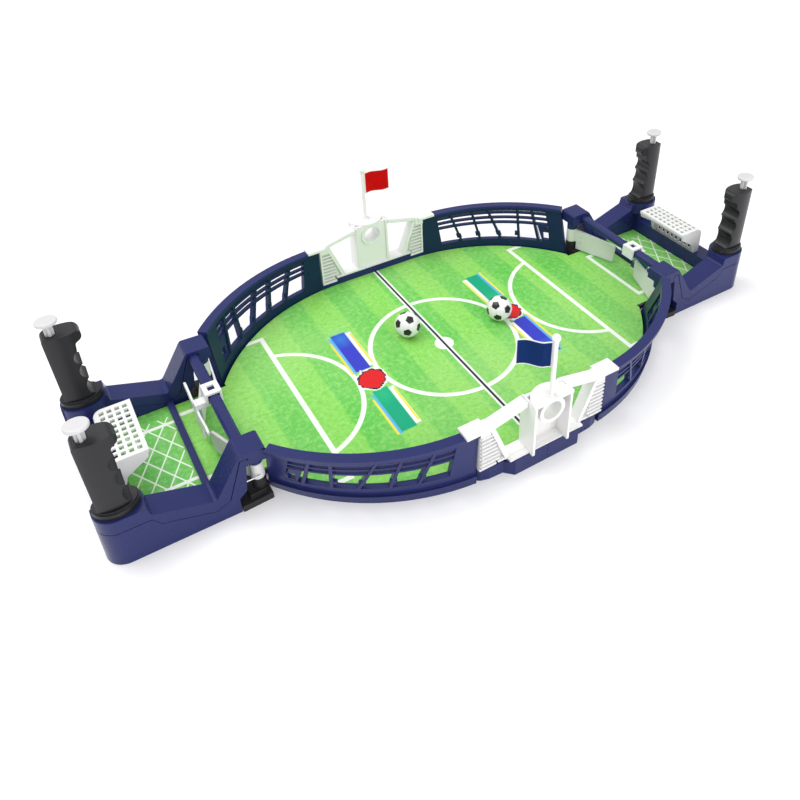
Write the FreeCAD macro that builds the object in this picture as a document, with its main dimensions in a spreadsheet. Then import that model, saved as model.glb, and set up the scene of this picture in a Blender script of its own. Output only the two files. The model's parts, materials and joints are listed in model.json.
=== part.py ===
"""Tabletop football game: an oval pitch between two end housings with push-button flippers.

Frame: millimetres, +X along the length, +Y to the far side, +Z up, z = 0 on the table.
Quarters are named by side: left / right is -X / +X and near / far is -Y / +Y.
"""
import FreeCAD, Part
import math
import os
import re
from FreeCAD import Vector, Placement, Rotation

doc = FreeCAD.newDocument("tabletop_football")
sheet = doc.addObject("Spreadsheet::Sheet", "dims")
NODES = {}

# ---------------------------------------------------------------- driving dimensions (mm)
DIMENSIONS = {
    # playing surface
    "pitch_top": 8.0, "board_thick": 2.4, "tray_thick": 3.2, "seam_half": 0.15, "side_y": 121.8,
    "arc_x": 36.0, "arc_y": 33.4, "arc_rad": 155.2, "mouth_x": 167.0, "mouth_half": 46.0,
    "mouth_end": 208.0, "board_gap": 0.3,
    # fence
    "fence_high": 48.0, "fence_wall": 4.6, "rail_high": 3.6, "lean_x": 14.0, "lean_y": 3.4,
    "lean_rad": 2.0, "fence_start": 52.5, "fence_foot": 13.0, "ledge_high": 7.0, "ledge_out": 1.8,
    # stand on the long side
    "stand_y": 122.6, "block_top": 14.0, "block_end_top": 11.0, "block_y": 135.4, "disc_rad": 16.2,
    "stand_face": 138.4, "disc_top": 59.0, "pole_y": 134.6, "ring_z": 47.5, "ring_rad": 10.4, "ring_bore": 7.4,
    # flag
    "pole_rad": 1.7, "pole_top": 106.0, "knob_rad": 2.9, "flag_wide": 23.0, "flag_top": 104.0,
    "flag_high": 20.5, "flag_thick": 0.5,
    # end housing
    "end_x": 276.5, "end_round": 13.0, "body_x": 194.0, "arm_out": 66.0, "arm_in": 48.5,
    "post_x": 172.0, "post_top": 48.0, "head_under": 37.5, "kink_x": 207.0, "kink_z": 19.0,
    "socket_x": 261.5, "socket_y": 53.6, "socket_long": 15.2, "socket_wide": 12.2,
    "socket_top": 38.0, "shell_gap": 0.5, "rear_x": 252.0, "rear_top": 21.0,
    # bars across the goal mouth
    "bar_x": 184.6, "bar_half": 3.9, "bar_top": 45.0, "bar_under": 38.6,
    "sill_x": 208.6, "sill_half": 2.3, "sill_top": 11.6,
    # goal
    "goal_front": 234.5, "goal_back": 259.5, "goal_half": 26.5, "goal_top": 45.5, "goal_wall": 1.6,
    "goal_bend": 6.5, "goal_low": 14.0,
    # corner pivot
    "pivot_x": 178.0, "pivot_y": 57.0, "pin_rad": 1.5, "hub_rad": 4.6, "hub_low": 17.0,
    "hub_high": 30.0, "paddle_low": 9.2, "paddle_thick": 2.0, "paddle_long": 46.5,
    "paddle_swing": 70.0, "run_gap": 0.06,
    # grip and button
    "collar_top": 43.5, "collar_long": 13.1, "collar_wide": 9.8,
    "grip_top": 97.5, "grip_back": 273.6, "grip_nose": 249.5, "grip_half": 8.2, "stem_x": 267.0, "stem_half": 3.0,
    "stem_web": 1.8, "stem_bore": 3.5, "spring_bore": 4.8, "cap_top": 108.7, "cap_thick": 3.0, "cap_long": 7.2,
    "cap_wide": 6.2, "stem_low": 31.0,
    "flange_z": 81.0,
    # loose pieces
    "ball_rad": 10.7, "keeper_thick": 1.6, "keeper_x": 196.2, "keeper_span": 29.0, "head_rad": 2.6, "shank_rad": 1.25,
    "wire_rad": 0.6,
}
for row, (alias, value) in enumerate(DIMENSIONS.items(), start=1):
    sheet.set("A%d" % row, alias)
    sheet.set("B%d" % row, str(value))
    sheet.setAlias("B%d" % row, alias)
doc.recompute()


def size(alias):
    """Value of one cell of the sheet."""
    return float(sheet.get(alias))


def cells(text):
    """Expression text with every plain word pointed at its cell of the sheet."""
    return re.sub(r"[a-z]\w*", lambda word: "dims." + word.group(0), str(text))


def bind(thing, **expressions):
    """Tie properties of an object to the sheet; double underscores stand for dots."""
    for name, text in expressions.items():
        thing.setExpression(name.replace("__", "."), cells(text))


def side(sign, low, high):
    """A span given for the positive side, on the side that sign names."""
    return (low, high) if sign > 0 else ("-(%s)" % high, "-(%s)" % low)


# ---------------------------------------------------------------- primitives
def box(name, xs, ys, zs):
    """Part::Box between pairs of expressions."""
    item = doc.addObject("Part::Box", name)
    for length, place, (low, high) in zip(("Length", "Width", "Height"), "xyz", (xs, ys, zs)):
        item.setExpression(length, cells("(%s) - (%s)" % (high, low)))
        item.setExpression("Placement.Base." + place, cells(low))
    return item


def rod(name, x, y, low, high, radius):
    """Upright Part::Cylinder from one height to another."""
    item = doc.addObject("Part::Cylinder", name)
    bind(item, Radius=radius, Height="(%s) - (%s)" % (high, low), Placement__Base__x=x,
         Placement__Base__y=y, Placement__Base__z=low)
    return item


def along_y(name, x, z, low, high, radius):
    """Part::Cylinder lying along Y."""
    item = doc.addObject("Part::Cylinder", name)
    item.Placement = Placement(Vector(), Rotation(Vector(1, 0, 0), -90))
    bind(item, Radius=radius, Height="(%s) - (%s)" % (high, low), Placement__Base__x=x,
         Placement__Base__y=low, Placement__Base__z=z)
    return item


def outline_edges(points):
    """Closed outline from (u, v) or (u, v, corner radius); ("arc", u, v) bends the next edge."""
    corners = [p for p in points if p[0] != "arc"]
    bends = {}
    count = 0
    for item in points:
        if item[0] == "arc":
            bends[count % len(corners)] = Vector(item[1], item[2], 0)
        else:
            count += 1
    starts = []
    ends = []
    arcs = []
    for i, corner in enumerate(corners):
        here = Vector(corner[0], corner[1], 0)
        radius = corner[2] if len(corner) > 2 else 0
        if not radius:
            starts.append(here)
            ends.append(here)
            arcs.append(None)
            continue
        back = Vector(corners[i - 1][0], corners[i - 1][1], 0) - here
        ahead_corner = corners[(i + 1) % len(corners)]
        ahead = Vector(ahead_corner[0], ahead_corner[1], 0) - here
        back.normalize()
        ahead.normalize()
        half = math.acos(max(-1.0, min(1.0, back.dot(ahead)))) / 2
        reach = radius / math.tan(half)
        middle = back + ahead
        middle.normalize()
        starts.append(here + ahead * reach)
        ends.append(here + back * reach)
        arcs.append(here + middle * (radius / math.sin(half) - radius))
    edges = []
    for i in range(len(corners)):
        if arcs[i] is not None:
            edges.append(Part.Arc(ends[i], arcs[i], starts[i]))
        after = (i + 1) % len(corners)
        if after in bends:
            edges.append(Part.Arc(starts[i], bends[after], ends[after]))
        else:
            edges.append(Part.LineSegment(starts[i], ends[after]))
    return edges


PLANES = {"xy": "XY_Plane", "xz": "XZ_Plane", "yz": "YZ_Plane"}


def pad(name, plane, points, low, high):
    """PartDesign body: one outline on a principal plane, padded from low to high along its normal."""
    body = doc.addObject("PartDesign::Body", name)
    sketch = body.newObject("Sketcher::SketchObject", name + "_outline")
    origin = [f for f in body.Origin.OriginFeatures if f.Role == PLANES[plane]][0]
    sketch.AttachmentSupport = [(origin, "")]
    sketch.MapMode = "FlatFace"
    offset = low if plane != "xz" else "-(%s)" % low
    sketch.setExpression("AttachmentOffset.Base.z", cells(offset))
    for edge in outline_edges(points):
        sketch.addGeometry(edge, False)
    feature = body.newObject("PartDesign::Pad", name + "_pad")
    feature.Profile = sketch
    feature.setExpression("Length", cells("(%s) - (%s)" % (high, low)))
    feature.Reversed = plane == "xz"
    body.Tip = feature
    return body


def fuse(name, items):
    """Union of several objects."""
    item = doc.addObject("Part::MultiFuse", name)
    item.Shapes = items
    item.Refine = True
    return item


def cut(name, base, tools):
    """Base less every tool."""
    item = doc.addObject("Part::Cut", name)
    item.Base = base
    item.Tool = tools[0] if len(tools) == 1 else fuse(name + "_tools", tools)
    item.Refine = True
    return item


def common(name, first, second):
    """What two objects share."""
    item = doc.addObject("Part::Common", name)
    item.Base = first
    item.Tool = second
    item.Refine = True
    return item


def keep(node, item):
    """Register one finished sub-part under its node name."""
    item.Label = node
    NODES[node] = item
    return item


def feature(node, shape, place=None):
    """Part::Feature for a shape that no primitive or sketch makes; placed after its shape."""
    item = doc.addObject("Part::Feature", node)
    item.Shape = shape
    item.Placement = place or Placement()
    return keep(node, item)


def mirrored(points, sx, sy=1):
    """Outline points moved to the quarter that the signs name."""
    moved = []
    for p in points:
        if p[0] == "arc":
            moved.append(("arc", p[1] * sx, p[2] * sy))
        else:
            moved.append((p[0] * sx, p[1] * sy) + tuple(p[2:]))
    return moved


# shell screws: distance from the middle and height of the head's underside, per quarter
SCREWS = [(198.6, 8.0), (251.5, 15.0)]
SCREW_LONG = 16.0
PIN_LOW = 6.2
PIN_LONG = 38.4


def screw_row(x):
    """Distance of a shell screw from the centre line."""
    return 53.6 if x < 220 else 60.6


END = {1: "right", -1: "left"}
ROW = {1: "far", -1: "near"}
QUARTERS = [(sx, sy) for sx in (-1, 1) for sy in (1, -1)]


def quarter(sx, sy):
    """Name of the quarter that the signs point to."""
    return "%s_%s" % (END[sx], ROW[sy])


# ---------------------------------------------------------------- oval arc
def arc_point(inset, x):
    """Point of the wall's inner arc, moved in by inset, at one x."""
    radius = size("arc_rad") - inset
    return x, -size("arc_y") + math.sqrt(radius ** 2 - (x - size("arc_x")) ** 2)


def half_oval(inset, mouth, tongue):
    """Half of the pitch outline, x > 0, with the tongue that runs through the goal mouth."""
    seam = size("seam_half")
    side_y = size("side_y") - inset
    bend = size("arc_x") + 80
    arc_end = arc_point(inset, size("mouth_x"))
    top = [(seam, side_y), (size("arc_x"), side_y), ("arc",) + arc_point(inset, bend), arc_end,
           (size("mouth_x"), mouth), (tongue, mouth)]
    low = [(p[0], p[1], -p[2]) if p[0] == "arc" else (p[0], -p[1]) for p in reversed(top)]
    return top + low


def pitch_board(sx):
    """Printed board of one half of the field, with the seam at x = 0."""
    points = half_oval(size("board_gap"), size("mouth_half"), size("mouth_end"))
    node = "pitch_board_" + END[sx]
    keep(node, pad(node, "xy", mirrored(points, sx), "pitch_top - board_thick", "pitch_top"))


def block_outline():
    """Stepped foot under the stand, quarter x > 0, y > 0."""
    deep = size("side_y")
    front = size("block_y")
    return [(size("seam_half"), deep), (size("seam_half"), front), (27, front), (33, front - 6),
            (44, front - 6.6), (50, front - 8.4, 1.5), (52, front - 10), (52, deep)]


def field_base(sx):
    """Moulded tray under one half of the board, with the feet of both stands."""
    node = "field_base_" + END[sx]
    points = half_oval(0.0, size("mouth_half") + 0.6, size("body_x") - 0.3)
    top = "pitch_top - board_thick"
    parts = [pad(node + "_tray", "xy", mirrored(points, sx), top + " - tray_thick", top)]
    for sy in (1, -1):
        tag = "%s_%s" % (node, ROW[sy])
        foot = [(p[0], p[1]) + tuple(p[2:]) for p in block_outline()]
        parts.append(pad(tag + "_foot", "xy", mirrored(foot, sx, sy), "0", "block_end_top"))
        parts.append(box(tag + "_step", side(sx, "seam_half", "38"), side(sy, "side_y", "side_y + 6"),
                         ("0", "block_top")))
        lip = [(size("seam_half"), size("side_y")), (size("seam_half"), size("block_y")),
               (27, size("block_y")), (31, size("block_y") - 4), (34, size("side_y"))]
        parts.append(pad(tag + "_lip", "xy", mirrored(lip, sx, sy), "0", "block_top"))
    solid = fuse(node + "_solid", parts)
    hollows = [pad("%s_%s_hollow" % (node, ROW[sy]), "xy", mirrored(
        [(3, 124.6), (3, 132.6), (26, 132.6), (30, 126.5), (44, 126.3), (44, 124.6)], sx, sy),
        "-1", "8.5") for sy in (1, -1)]
    keep(node, cut(node, solid, hollows))


# ---------------------------------------------------------------- fence quarters
def sector_wire(radius_in, radius_out, start, end, centre, z):
    """Closed wire of one ring sector at a height; angles in degrees."""
    def at(radius, angle):
        turn = math.radians(angle)
        return Vector(centre[0] + radius * math.cos(turn), centre[1] + radius * math.sin(turn), z)
    mid = (start + end) / 2
    edges = [Part.Arc(at(radius_out, start), at(radius_out, mid), at(radius_out, end)).toShape(),
             Part.LineSegment(at(radius_out, end), at(radius_in, end)).toShape(),
             Part.Arc(at(radius_in, end), at(radius_in, mid), at(radius_in, start)).toShape(),
             Part.LineSegment(at(radius_in, start), at(radius_out, start)).toShape()]
    return Part.Wire(edges)


def lean(z):
    """Centre, inner radius and end angles of the leaning wall at one height."""
    part = z / size("fence_high")
    centre = (size("arc_x") + size("lean_x") * part, -size("arc_y") + size("lean_y") * part)
    radius = size("arc_rad") - size("lean_rad") * part
    start = 32.4 + 6.2 * part
    end = math.degrees(math.acos((size("fence_start") - centre[0]) / radius))
    return centre, radius, start, end


def leaning_wall(low, high, inner, outer, trim=0.0):
    """Slab of the leaning wall between two heights and two offsets from its inner face."""
    wires = []
    for z in (low, high):
        centre, radius, start, end = lean(z)
        wires.append(sector_wire(radius + inner, radius + outer, start + trim, end - trim, centre, z))
    return Part.makeLoft(wires, True, True)


def fence_opening(first, last, low, high, slant_first, slant_last):
    """Cutter through the wall between two mullions, whose upper ends shift by the slants (degrees)."""
    quads = []
    for offset in (-6.0, 12.0):
        corners = []
        for z, angle in ((low, first), (low, last), (high, last + slant_last), (high, first + slant_first)):
            centre, radius, _, _ = lean(z)
            turn = math.radians(angle)
            corners.append(Vector(centre[0] + (radius + offset) * math.cos(turn),
                                  centre[1] + (radius + offset) * math.sin(turn), z))
        quads.append(Part.makePolygon(corners + corners[:1]))
    return Part.makeLoft(quads, True, True)


# mullion angles at the foot and how far each leans towards its top (degrees)
MULLIONS = [(38.6, 4.6), (43.6, 5.0), (50.6, 3.0), (57.0, 7.2), (64.4, 5.6), (71.2, 6.6), (79.0, 4.4)]
MULLION_HALF = 0.45
LOUVRES = (29.5, 34.4, 39.3)
LOUVRE_HIGH = 1.7


def fence_shape():
    """One fence quarter, x > 0, y > 0: leaning wall, rail, foot ledge, openings and louvres."""
    high = size("fence_high")
    wall = leaning_wall(0, high, 0.0, size("fence_wall"))
    rail = leaning_wall(high - size("rail_high"), high, -0.9, size("fence_wall") + 1.9)
    ledge = leaning_wall(0, size("ledge_high"), size("fence_wall") - 1, size("fence_wall") + size("ledge_out"))
    solid = wall.fuse([rail, ledge])
    low = size("fence_foot") + 1.5
    top = high - size("rail_high") - 1.2
    cutters = []
    for (first, slant_a), (last, slant_b) in zip(MULLIONS[:-1], MULLIONS[1:]):
        cutters.append(fence_opening(first + MULLION_HALF, last - MULLION_HALF, low, top, slant_a, slant_b))
    solid = solid.cut(cutters)
    bars = []
    for z in LOUVRES:
        slab = leaning_wall(z, z + LOUVRE_HIGH, 1.0, size("fence_wall") - 0.6, 1.0)
        bars.append(slab)
    panel = fence_opening(MULLIONS[0][0], MULLIONS[1][0] - 1.6, low - 1, LOUVRES[0] + 0.5, 3.4, 3.4)
    bars.append(panel.common(leaning_wall(low - 1, LOUVRES[0] + 0.5, 0.8, size("fence_wall") - 0.4)))
    for first, slant in MULLIONS[2:-1]:
        tooth = fence_opening(first, first + 1.7, low + 3.2, low + 6.6, slant * 0.1, slant * 0.1)
        bars.append(tooth.common(leaning_wall(low, low + 9, 1.0, size("fence_wall") - 0.8)))
    solid = solid.fuse(bars)
    notch = fence_opening(MULLIONS[0][0] + 1.4, MULLIONS[0][0] + 3.4, low + 2, low + 9, 0.8, 0.8)
    return solid.cut(notch).removeSplitter()


def fences():
    """Four fence quarters, each the first one turned or mirrored."""
    base = fence_shape()
    for sx, sy in QUARTERS:
        shape = base.copy()
        if sx < 0:
            shape = shape.mirror(Vector(), Vector(1, 0, 0))
        if sy < 0:
            shape = shape.mirror(Vector(), Vector(0, 1, 0))
        feature("fence_" + quarter(sx, sy), shape)


# ---------------------------------------------------------------- stands and flags
def stand(sy):
    """White bridge over the seam: end caps, sloping arms, ribbed struts and tower with a disc."""
    node = "stand_" + ROW[sy]
    parts = []
    foot = "block_top"
    ends = "block_end_top"
    y0 = "stand_y"
    for sx in (1, -1):
        tag = "%s_%s" % (node, END[sx])
        parts.append(box(tag + "_cap", side(sx, "47", "63"), side(sy, y0 + " - 3.4", y0 + " + 8.6"),
                         ("fence_high + 0.2", "fence_high + 2.4")))
        parts.append(box(tag + "_cap_root", side(sx, "44", "52"), side(sy, y0 + " - 1", y0 + " + 7.4"),
                         ("fence_high - 5", "fence_high + 2.4")))
        arm = [(sx * 16, 57.5), (sx * 48, 50.2), (sx * 48, 46.8), (sx * 16, 53.9)]
        parts.append(pad(tag + "_arm", "xz", arm, *side(sy, y0, y0 + " + 8.6")))
        strut = [(sx * 45, 47.5), (sx * 41.4, 47.5), (sx * 28.4, 14.2), (sx * 32.2, 14.2)]
        parts.append(pad(tag + "_strut", "xz", strut, *side(sy, y0, y0 + " + 8.6")))
        web = [(sx * 51.6, 47.5), (sx * 44, 47.5), (sx * 31, 14.2), (sx * 38, 14.2),
               (sx * 41.5, 11.2), (sx * 51.6, 11.2)]
        parts.append(pad(tag + "_web", "xz", web, *side(sy, y0 + " + 3", y0 + " + 5")))
        for i in range(9):
            z = 14.4 + 3.45 * i
            inner = 36.6 + 0.62 * i + (0 if i else 3)
            parts.append(box("%s_rib%d" % (tag, i), side(sx, str(inner), "51.6"),
                             side(sy, y0 + " - 0.2", y0 + " + 8.2"), (str(z), str(z + 1.3))))
        parts.append(box(tag + "_toe", side(sx, "38", "51.6"), side(sy, y0 + " - 0.6", y0 + " + 6"),
                         (ends, ends + " + 1.8")))
        parts.append(box(tag + "_edge", side(sx, "50", "51.6"), side(sy, y0 + " - 0.6", y0 + " + 6"),
                         (ends, "fence_high - 3")))
        parts.append(box(tag + "_cheek", side(sx, "13.6", "15.6"), side(sy, y0, "stand_face"),
                         (foot, "disc_top - 1.5")))
    parts.append(box(node + "_rail", ("-38", "38"), side(sy, y0 + " - 0.4", y0 + " + 8"),
                     (foot, foot + " + 1.8")))
    parts.append(box(node + "_sill", ("-31", "31"), side(sy, y0, "block_y - 0.6"),
                     (foot, foot + " + 1.4")))
    parts.append(box(node + "_tower", ("-15.6", "15.6"), side(sy, y0 + " + 1.4", y0 + " + 3.6"),
                     (foot, "disc_top - 1")))
    face, radius = size("stand_face"), size("disc_rad")
    half_disc = [(-radius, face), ("arc", 0, face - radius), (radius, face)]
    parts.append(pad(node + "_disc", "xy", mirrored(half_disc, 1, sy), "disc_top - 2.6", "disc_top"))
    pole_y = "%d * pole_y" % sy
    parts.append(rod(node + "_socket", "0", pole_y, "disc_top - 5", "disc_top + 1.4", "pole_rad + 1.2"))
    parts.append(along_y(node + "_ring", "0", "ring_z", *side(sy, y0, "stand_face - 1.2"), radius="ring_rad"))
    solid = fuse(node + "_solid", parts)
    bore = along_y(node + "_bore", "0", "ring_z", *side(sy, y0 + " - 5", y0 + " + 20"), radius="ring_bore")
    pole = rod(node + "_pole_hole", "0", pole_y, "disc_top - 4.4", "disc_top + 3", "pole_rad + 0.02")
    keep(node, cut(node, solid, [bore, pole]))


def flag_pole(sy):
    """Slim pole with a round knob, pushed into the disc."""
    node = "flag_pole_" + ROW[sy]
    shaft = rod(node + "_shaft", "0", "%d * pole_y" % sy, "disc_top - 4", "pole_top", "pole_rad")
    knob = doc.addObject("Part::Sphere", node + "_knob")
    bind(knob, Radius="knob_rad", Placement__Base__y="%d * pole_y" % sy, Placement__Base__z="pole_top + 1")
    keep(node, fuse(node, [shaft, knob]))


# flags: points along a wave, its height, and the way each flies, in degrees from +X
FLAG_STEPS = 8
FLAG_WAVE = 1.3
FLAG_TURN = {1: -4, -1: 142}


def flag(sy):
    """Small stiff flag with a wave in it, flying from its pole."""
    node = "flag_" + ROW[sy]
    start = size("pole_rad") + 0.05
    wide = size("flag_wide")
    half = size("flag_thick") / 2
    ridge = []
    for i in range(FLAG_STEPS + 1):
        share = i / FLAG_STEPS
        ridge.append((start + wide * share, FLAG_WAVE * math.sin(2 * math.pi * share) * min(1, 4 * share)))
    front = [(x, wave - half) for x, wave in ridge]
    back = [(x, wave + half) for x, wave in reversed(ridge)]
    cloth = pad(node, "xy", front + back, "flag_top - flag_high", "flag_top")
    cloth.Placement = Placement(Vector(0, sy * size("pole_y"), 0), Rotation(Vector(0, 0, 1), FLAG_TURN[sy]))
    keep(node, cloth)


# ---------------------------------------------------------------- end housings
def parting_line(drop=0.0):
    """Line between lower and upper shell seen from the side, from the end to the post."""
    return [(size("end_x") + 5, 28 - drop), (246, 28 - drop, 3), (241, 20.5 - drop, 3), (236, 19.5 - drop),
            (209, 10.2 - drop, 3), (200 - drop, 14.5, 3), (189.6 - drop, 44 - drop)]


def housing_profile():
    """Side outline of an end housing, x > 0."""
    return [(size("body_x"), 0), (size("end_x") - 5, 0, 3), (size("end_x"), 14), (size("end_x"), 38),
            (247, 38), (245.5, 31.5, 2), (size("kink_x") + 1, size("kink_z"), 3), (190.5, 46.4, 3),
            (189, size("post_top"), 1), (size("post_x"), size("post_top") - 0.6, 2),
            (size("post_x"), size("head_under")), (186, size("head_under")), (188.5, 17),
            (size("body_x"), 12)]


def plan_prism(name, sx, low, high):
    """Plan of the housing: a rectangle with two round outer corners."""
    y = size("arm_out")
    end = size("end_x")
    turn = size("end_round")
    points = [(size("post_x") - 2, -y), (end, -y, turn), (end, y, turn), (size("post_x") - 2, y)]
    return pad(name, "xy", mirrored(points, sx), low, high)


def side_prism(name, points, sx, sy, low, high):
    """Side outline padded across one arm of the housing."""
    return pad(name, "xz", mirrored(points, sx), *side(sy, low, high))


def shell_parts(node, sx):
    """Solid of both arms, both sockets and the low rear wall, before the shells part."""
    parts = []
    for sy in (1, -1):
        tag = "%s_%s" % (node, ROW[sy])
        parts.append(side_prism(tag + "_arm", housing_profile(), sx, sy, "arm_in", "arm_out"))
        x = "%d * socket_x" % sx
        y = "%d * socket_y" % sy
        parts.append(oval(tag + "_socket", x, y, "0", "socket_top", "socket_long", "socket_wide + 1.2"))
    parts.append(box(node + "_rear", side(sx, "rear_x", "rear_x + 16"), ("-arm_in - 1", "arm_in + 1"),
                     ("0", "rear_top")))
    return parts


def oval(name, x, y, low, high, half_long, half_wide):
    """Upright elliptical prism."""
    ellipse = doc.addObject("Part::Ellipse", name + "_curve")
    bind(ellipse, MajorRadius=half_long, MinorRadius=half_wide, Placement__Base__x=x,
         Placement__Base__y=y, Placement__Base__z=low)
    item = doc.addObject("Part::Extrusion", name)
    item.Base = ellipse
    item.DirMode = "Custom"
    item.Dir = Vector(0, 0, 1)
    item.Solid = True
    item.setExpression("LengthFwd", cells("(%s) - (%s)" % (high, low)))
    return item


def housing(sx):
    """Lower and upper shell of one end housing, split along the parting line."""
    for half in ("lower", "upper"):
        node = "housing_%s_%s" % (half, END[sx])
        whole = fuse(node + "_block", shell_parts(node, sx))
        trimmed = common(node + "_trimmed", whole, plan_prism(node + "_plan", sx, "-1", "post_top + 5"))
        split = size("shell_gap") if half == "lower" else 0.0
        line = parting_line(split)
        if half == "lower":
            below = line + [(184.5, 43.5), (184.5, -5), (size("end_x") + 5, -5)]
            rest = pad(node + "_below", "xz", mirrored(below, sx), "-arm_out - 5", "arm_out + 5")
            shell = common(node + "_shell", trimmed, rest)
        else:
            above = line + [(184, 44), (184, 30), (150, 30), (150, 70), (size("end_x") + 5, 70)]
            rest = pad(node + "_above", "xz", mirrored(above, sx), "-arm_out - 5", "arm_out + 5")
            shell = common(node + "_shell", trimmed, rest)
        tools = []
        for sy in (1, -1):
            tag = "%s_%s" % (node, ROW[sy])
            inside = side(sy, "arm_in + 2.4", "arm_out - 2.6")
            if half == "lower":
                tools.append(box(tag + "_channel", side(sx, "203", "247"), inside, ("3", "10")))
                tools.append(box(tag + "_gallery", side(sx, "246", "stem_x + 3"),
                                 side(sy, "arm_in + 2.4", "arm_in + 7.4"), ("3", "14")))
                for i, (x, head) in enumerate(SCREWS):
                    place = ("%d * %s" % (sx, x), "%d * %s" % (sy, screw_row(x)))
                    tools.append(rod("%s_bore%d" % (tag, i), *place, "-1", str(head + 1.6), "head_rad + 0.3"))
            for i, (x, head) in enumerate(SCREWS):
                place = ("%d * %s" % (sx, x), "%d * %s" % (sy, screw_row(x)))
                tools.append(rod("%s_tap%d" % (tag, i), *place, str(head), str(head + 18), "shank_rad + 0.02"))
            tools.append(rod(tag + "_well", "%d * stem_x" % sx, "%d * socket_y" % sy, "4",
                             "socket_top + 4", "stem_bore"))
            tools.append(wire_tool(tag + "_wire_way", sx, sy))
            tools.append(rod(tag + "_pin_hole", "%d * pivot_x" % sx, "%d * pivot_y" % sy, "30",
                             "45", "pin_rad + 0.02"))
            tools.append(box(tag + "_bar_seat", side(sx, "bar_x - bar_half - 0.1", "bar_x + bar_half + 0.1"),
                             side(sy, "arm_in - 2", "arm_in + 3"), ("bar_under - 0.1", "bar_top + 0.1")))
            tools.append(box(tag + "_sill_seat", side(sx, "sill_x - sill_half - 0.1", "sill_x + sill_half + 0.1"),
                             side(sy, "arm_in - 2", "arm_in + 1.6"), ("pitch_top", "sill_top + 0.1")))
        if half == "lower":
            floor_top = "pitch_top - board_thick"
            tools.append(box(node + "_floor_recess", side(sx, "body_x - 1", "rear_x"),
                             ("-arm_in - 0.01", "arm_in + 0.01"), (floor_top, "60")))
            tools.append(box(node + "_goal_slot", side(sx, "goal_back - 7", "goal_back + 0.4"),
                             ("-goal_half - 0.3", "goal_half + 0.3"), ("goal_low", "60")))
            floor = box(node + "_floor", side(sx, "body_x", "rear_x + 1"), ("-arm_in - 1", "arm_in + 1"),
                        ("2", floor_top))
            shell = fuse(node + "_with_floor", [shell, floor])
        else:
            tools.append(box(node + "_clear", side(sx, "100", "rear_x + 20"), ("-40", "40"), ("-5", "70")))
            knuckles = [rod("%s_knuckle_%s" % (node, ROW[sy]), "%d * pivot_x" % sx, "%d * pivot_y" % sy,
                            "hub_high + 0.5", "head_under + 1", "hub_rad") for sy in (1, -1)]
            shell = fuse(node + "_with_knuckles", [shell] + knuckles)
        keep(node, cut(node, shell, tools))


def cross_bars(sx):
    """Bar that carries the keeper, and the low sill under it."""
    node = "crossbar_" + END[sx]
    x0 = size("bar_x") - size("bar_half")
    x1 = size("bar_x") + size("bar_half")
    low = size("bar_under")
    top = size("bar_top")
    bevel = 1.6
    points = [(x0, low + bevel), (x0 + bevel, low), (x1 - bevel, low), (x1, low + bevel),
              (x1, top - bevel), (x1 - bevel, top), (x0 + bevel, top), (x0, top - bevel)]
    keep(node, pad(node, "xz", mirrored(points, sx), "-arm_in - 2.8", "arm_in + 2.8"))
    node = "goal_sill_" + END[sx]
    keep(node, box(node, side(sx, "sill_x - sill_half", "sill_x + sill_half"),
                   ("-arm_in - 1.4", "arm_in + 1.4"), ("pitch_top + 0.1", "sill_top")))


def goal_floor(sx):
    """Printed board of the goal, between the sill and the rear wall."""
    node = "goal_floor_" + END[sx]
    keep(node, box(node, side(sx, "mouth_end + 0.2", "rear_x - 0.2"), ("-arm_in + 0.3", "arm_in - 0.3"),
                   ("pitch_top - board_thick", "pitch_top")))


def goal(sx):
    """Perforated goal: roof, round bend, back and two cheeks."""
    node = "goal_" + END[sx]
    front, back, top = size("goal_front"), size("goal_back"), size("goal_top")
    wall, bend, low = size("goal_wall"), size("goal_bend"), size("goal_low")
    strip = [(front, top), (back, top, bend), (back, low), (back - wall, low),
             (back - wall, top - wall, bend - wall), (front + 1, top - wall), (front, top - wall - 1.2)]
    parts = [pad(node + "_strip", "xz", mirrored(strip, sx), "-goal_half", "goal_half")]
    cheek = [(front + 0.5, top - 1), (back - 3, top - 1, 3), (back - 0.5, top - 6), (back - 0.5, low),
             (back - 4, low), (back - 8.5, top - 16, 4), (front + 1.5, top - 6.5, 2)]
    for sy in (1, -1):
        parts.append(pad("%s_cheek_%s" % (node, ROW[sy]), "xz", mirrored(cheek, sx),
                         *side(sy, "goal_half - 1.6", "goal_half")))
    solid = fuse(node + "_solid", parts)
    holes = []
    columns, rows = 4, 9
    for i in range(columns):
        x = front + 3.0 + 5.0 * i
        for j in range(rows):
            y = -21.6 + 5.4 * j
            holes.append(box("%s_hole%d_%d" % (node, i, j), side(sx, str(x), str(x + 3.0)),
                             (str(y - 1.7), str(y + 1.7)), ("goal_top - 4", "goal_top + 2")))
    for j in range(rows):
        y = -21.6 + 5.4 * j
        for k in range(3):
            z = 20.0 + 6.0 * k
            holes.append(box("%s_back%d_%d" % (node, j, k), side(sx, "goal_back - 4", "goal_back + 2"),
                             (str(y - 1.7), str(y + 1.7)), (str(z), str(z + 3.6))))
    keep(node, cut(node, solid, holes))


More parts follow.
